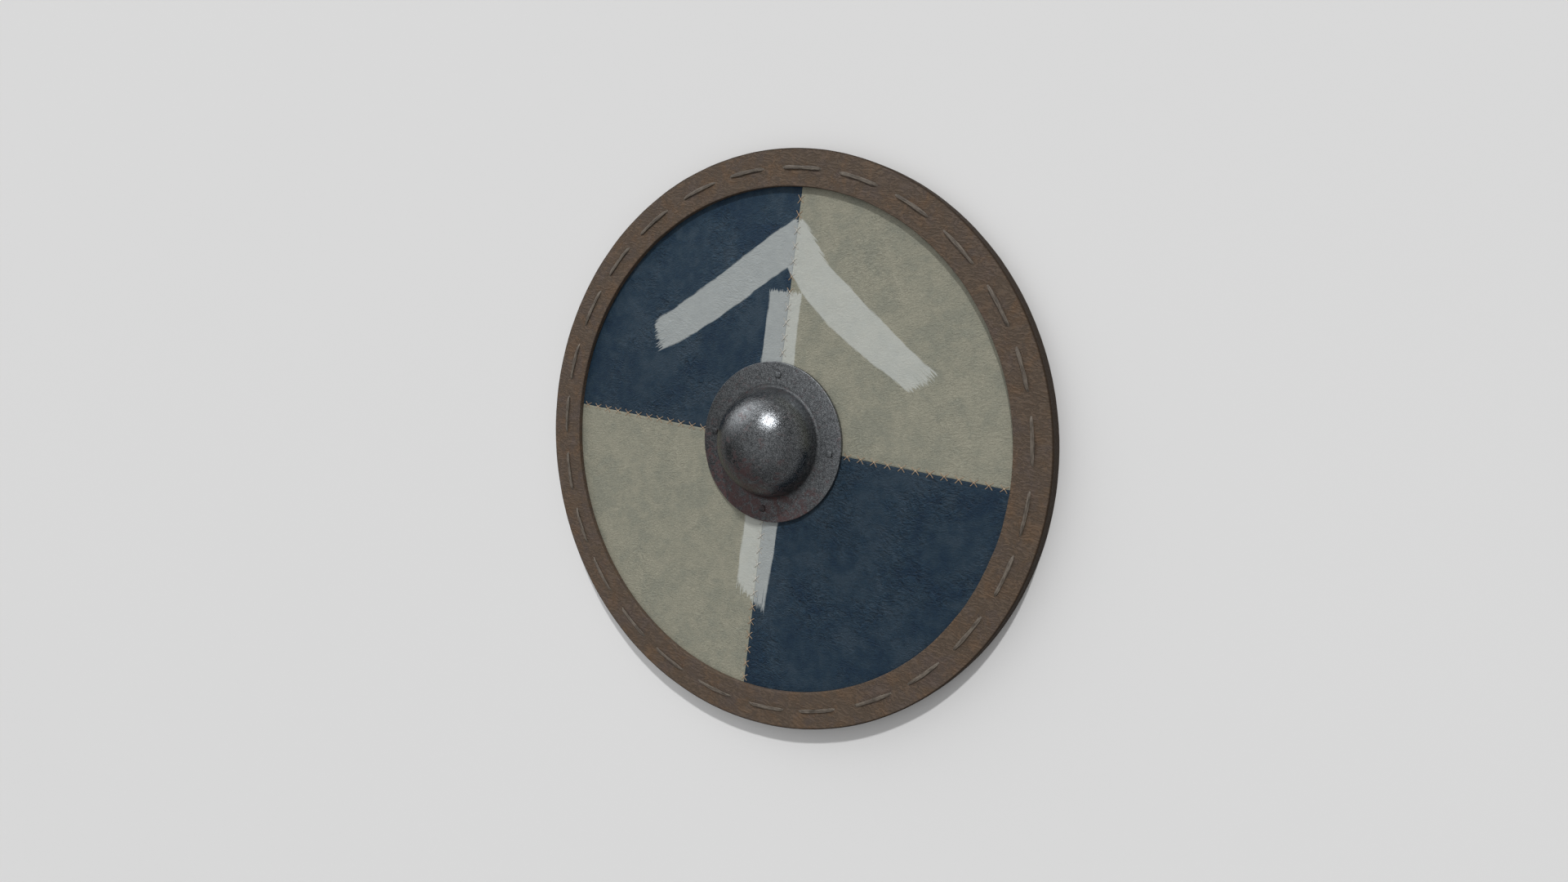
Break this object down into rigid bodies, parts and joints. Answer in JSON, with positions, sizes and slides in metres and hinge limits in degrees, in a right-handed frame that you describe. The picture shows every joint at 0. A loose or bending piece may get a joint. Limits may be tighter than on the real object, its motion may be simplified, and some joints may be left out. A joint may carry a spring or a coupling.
{
  "type": "round wooden shield",
  "caption": "Round shield of boards with a quartered leather face, a laced leather rim, a hollow iron boss over the hand hole and a grip bar behind.",
  "frame": {"origin": "centre of the underside, on the plane the shield lies on", "axes": "+Z out of the face, +Y towards the top of the face, +X to the right seen from the front"},
  "size_m": [0.76, 0.76, 0.0895],
  "materials": {
    "board_wood": "matte",
    "grip_wood": "worn satin",
    "blue_leather": "matte, weathered",
    "cream_leather": "matte, weathered",
    "rim_leather": "matte, weathered",
    "thong_leather": "matte",
    "seam_thread": "matte",
    "pale_paint": "matte brushed paint",
    "forged_iron": "dark, speckled, slightly rusty",
    "nail_iron": "dark"
  },
  "bodies": {
    "root": {"plank_1": "board_wood", "plank_2": "board_wood", "plank_3": "board_wood", "plank_4": "board_wood", "plank_5": "board_wood", "plank_6": "board_wood", "facing_upper_left": "blue_leather", "facing_lower_right": "blue_leather", "facing_upper_right": "cream_leather", "facing_lower_left": "cream_leather", "rim_binding": "rim_leather", "rim_lacing": "thong_leather", "boss": "forged_iron", "grip": "grip_wood", "boss_nail_top": "nail_iron", "back_plate_top": "nail_iron", "boss_nail_right": "nail_iron", "back_plate_right": "nail_iron", "boss_nail_bottom": "nail_iron", "back_plate_bottom": "nail_iron", "boss_nail_left": "nail_iron", "back_plate_left": "nail_iron", "grip_nail_1": "nail_iron", "grip_nail_2": "nail_iron", "grip_nail_3": "nail_iron", "grip_nail_4": "nail_iron", "grip_nail_5": "nail_iron", "grip_nail_6": "nail_iron"}
  },
  "joints": []
}
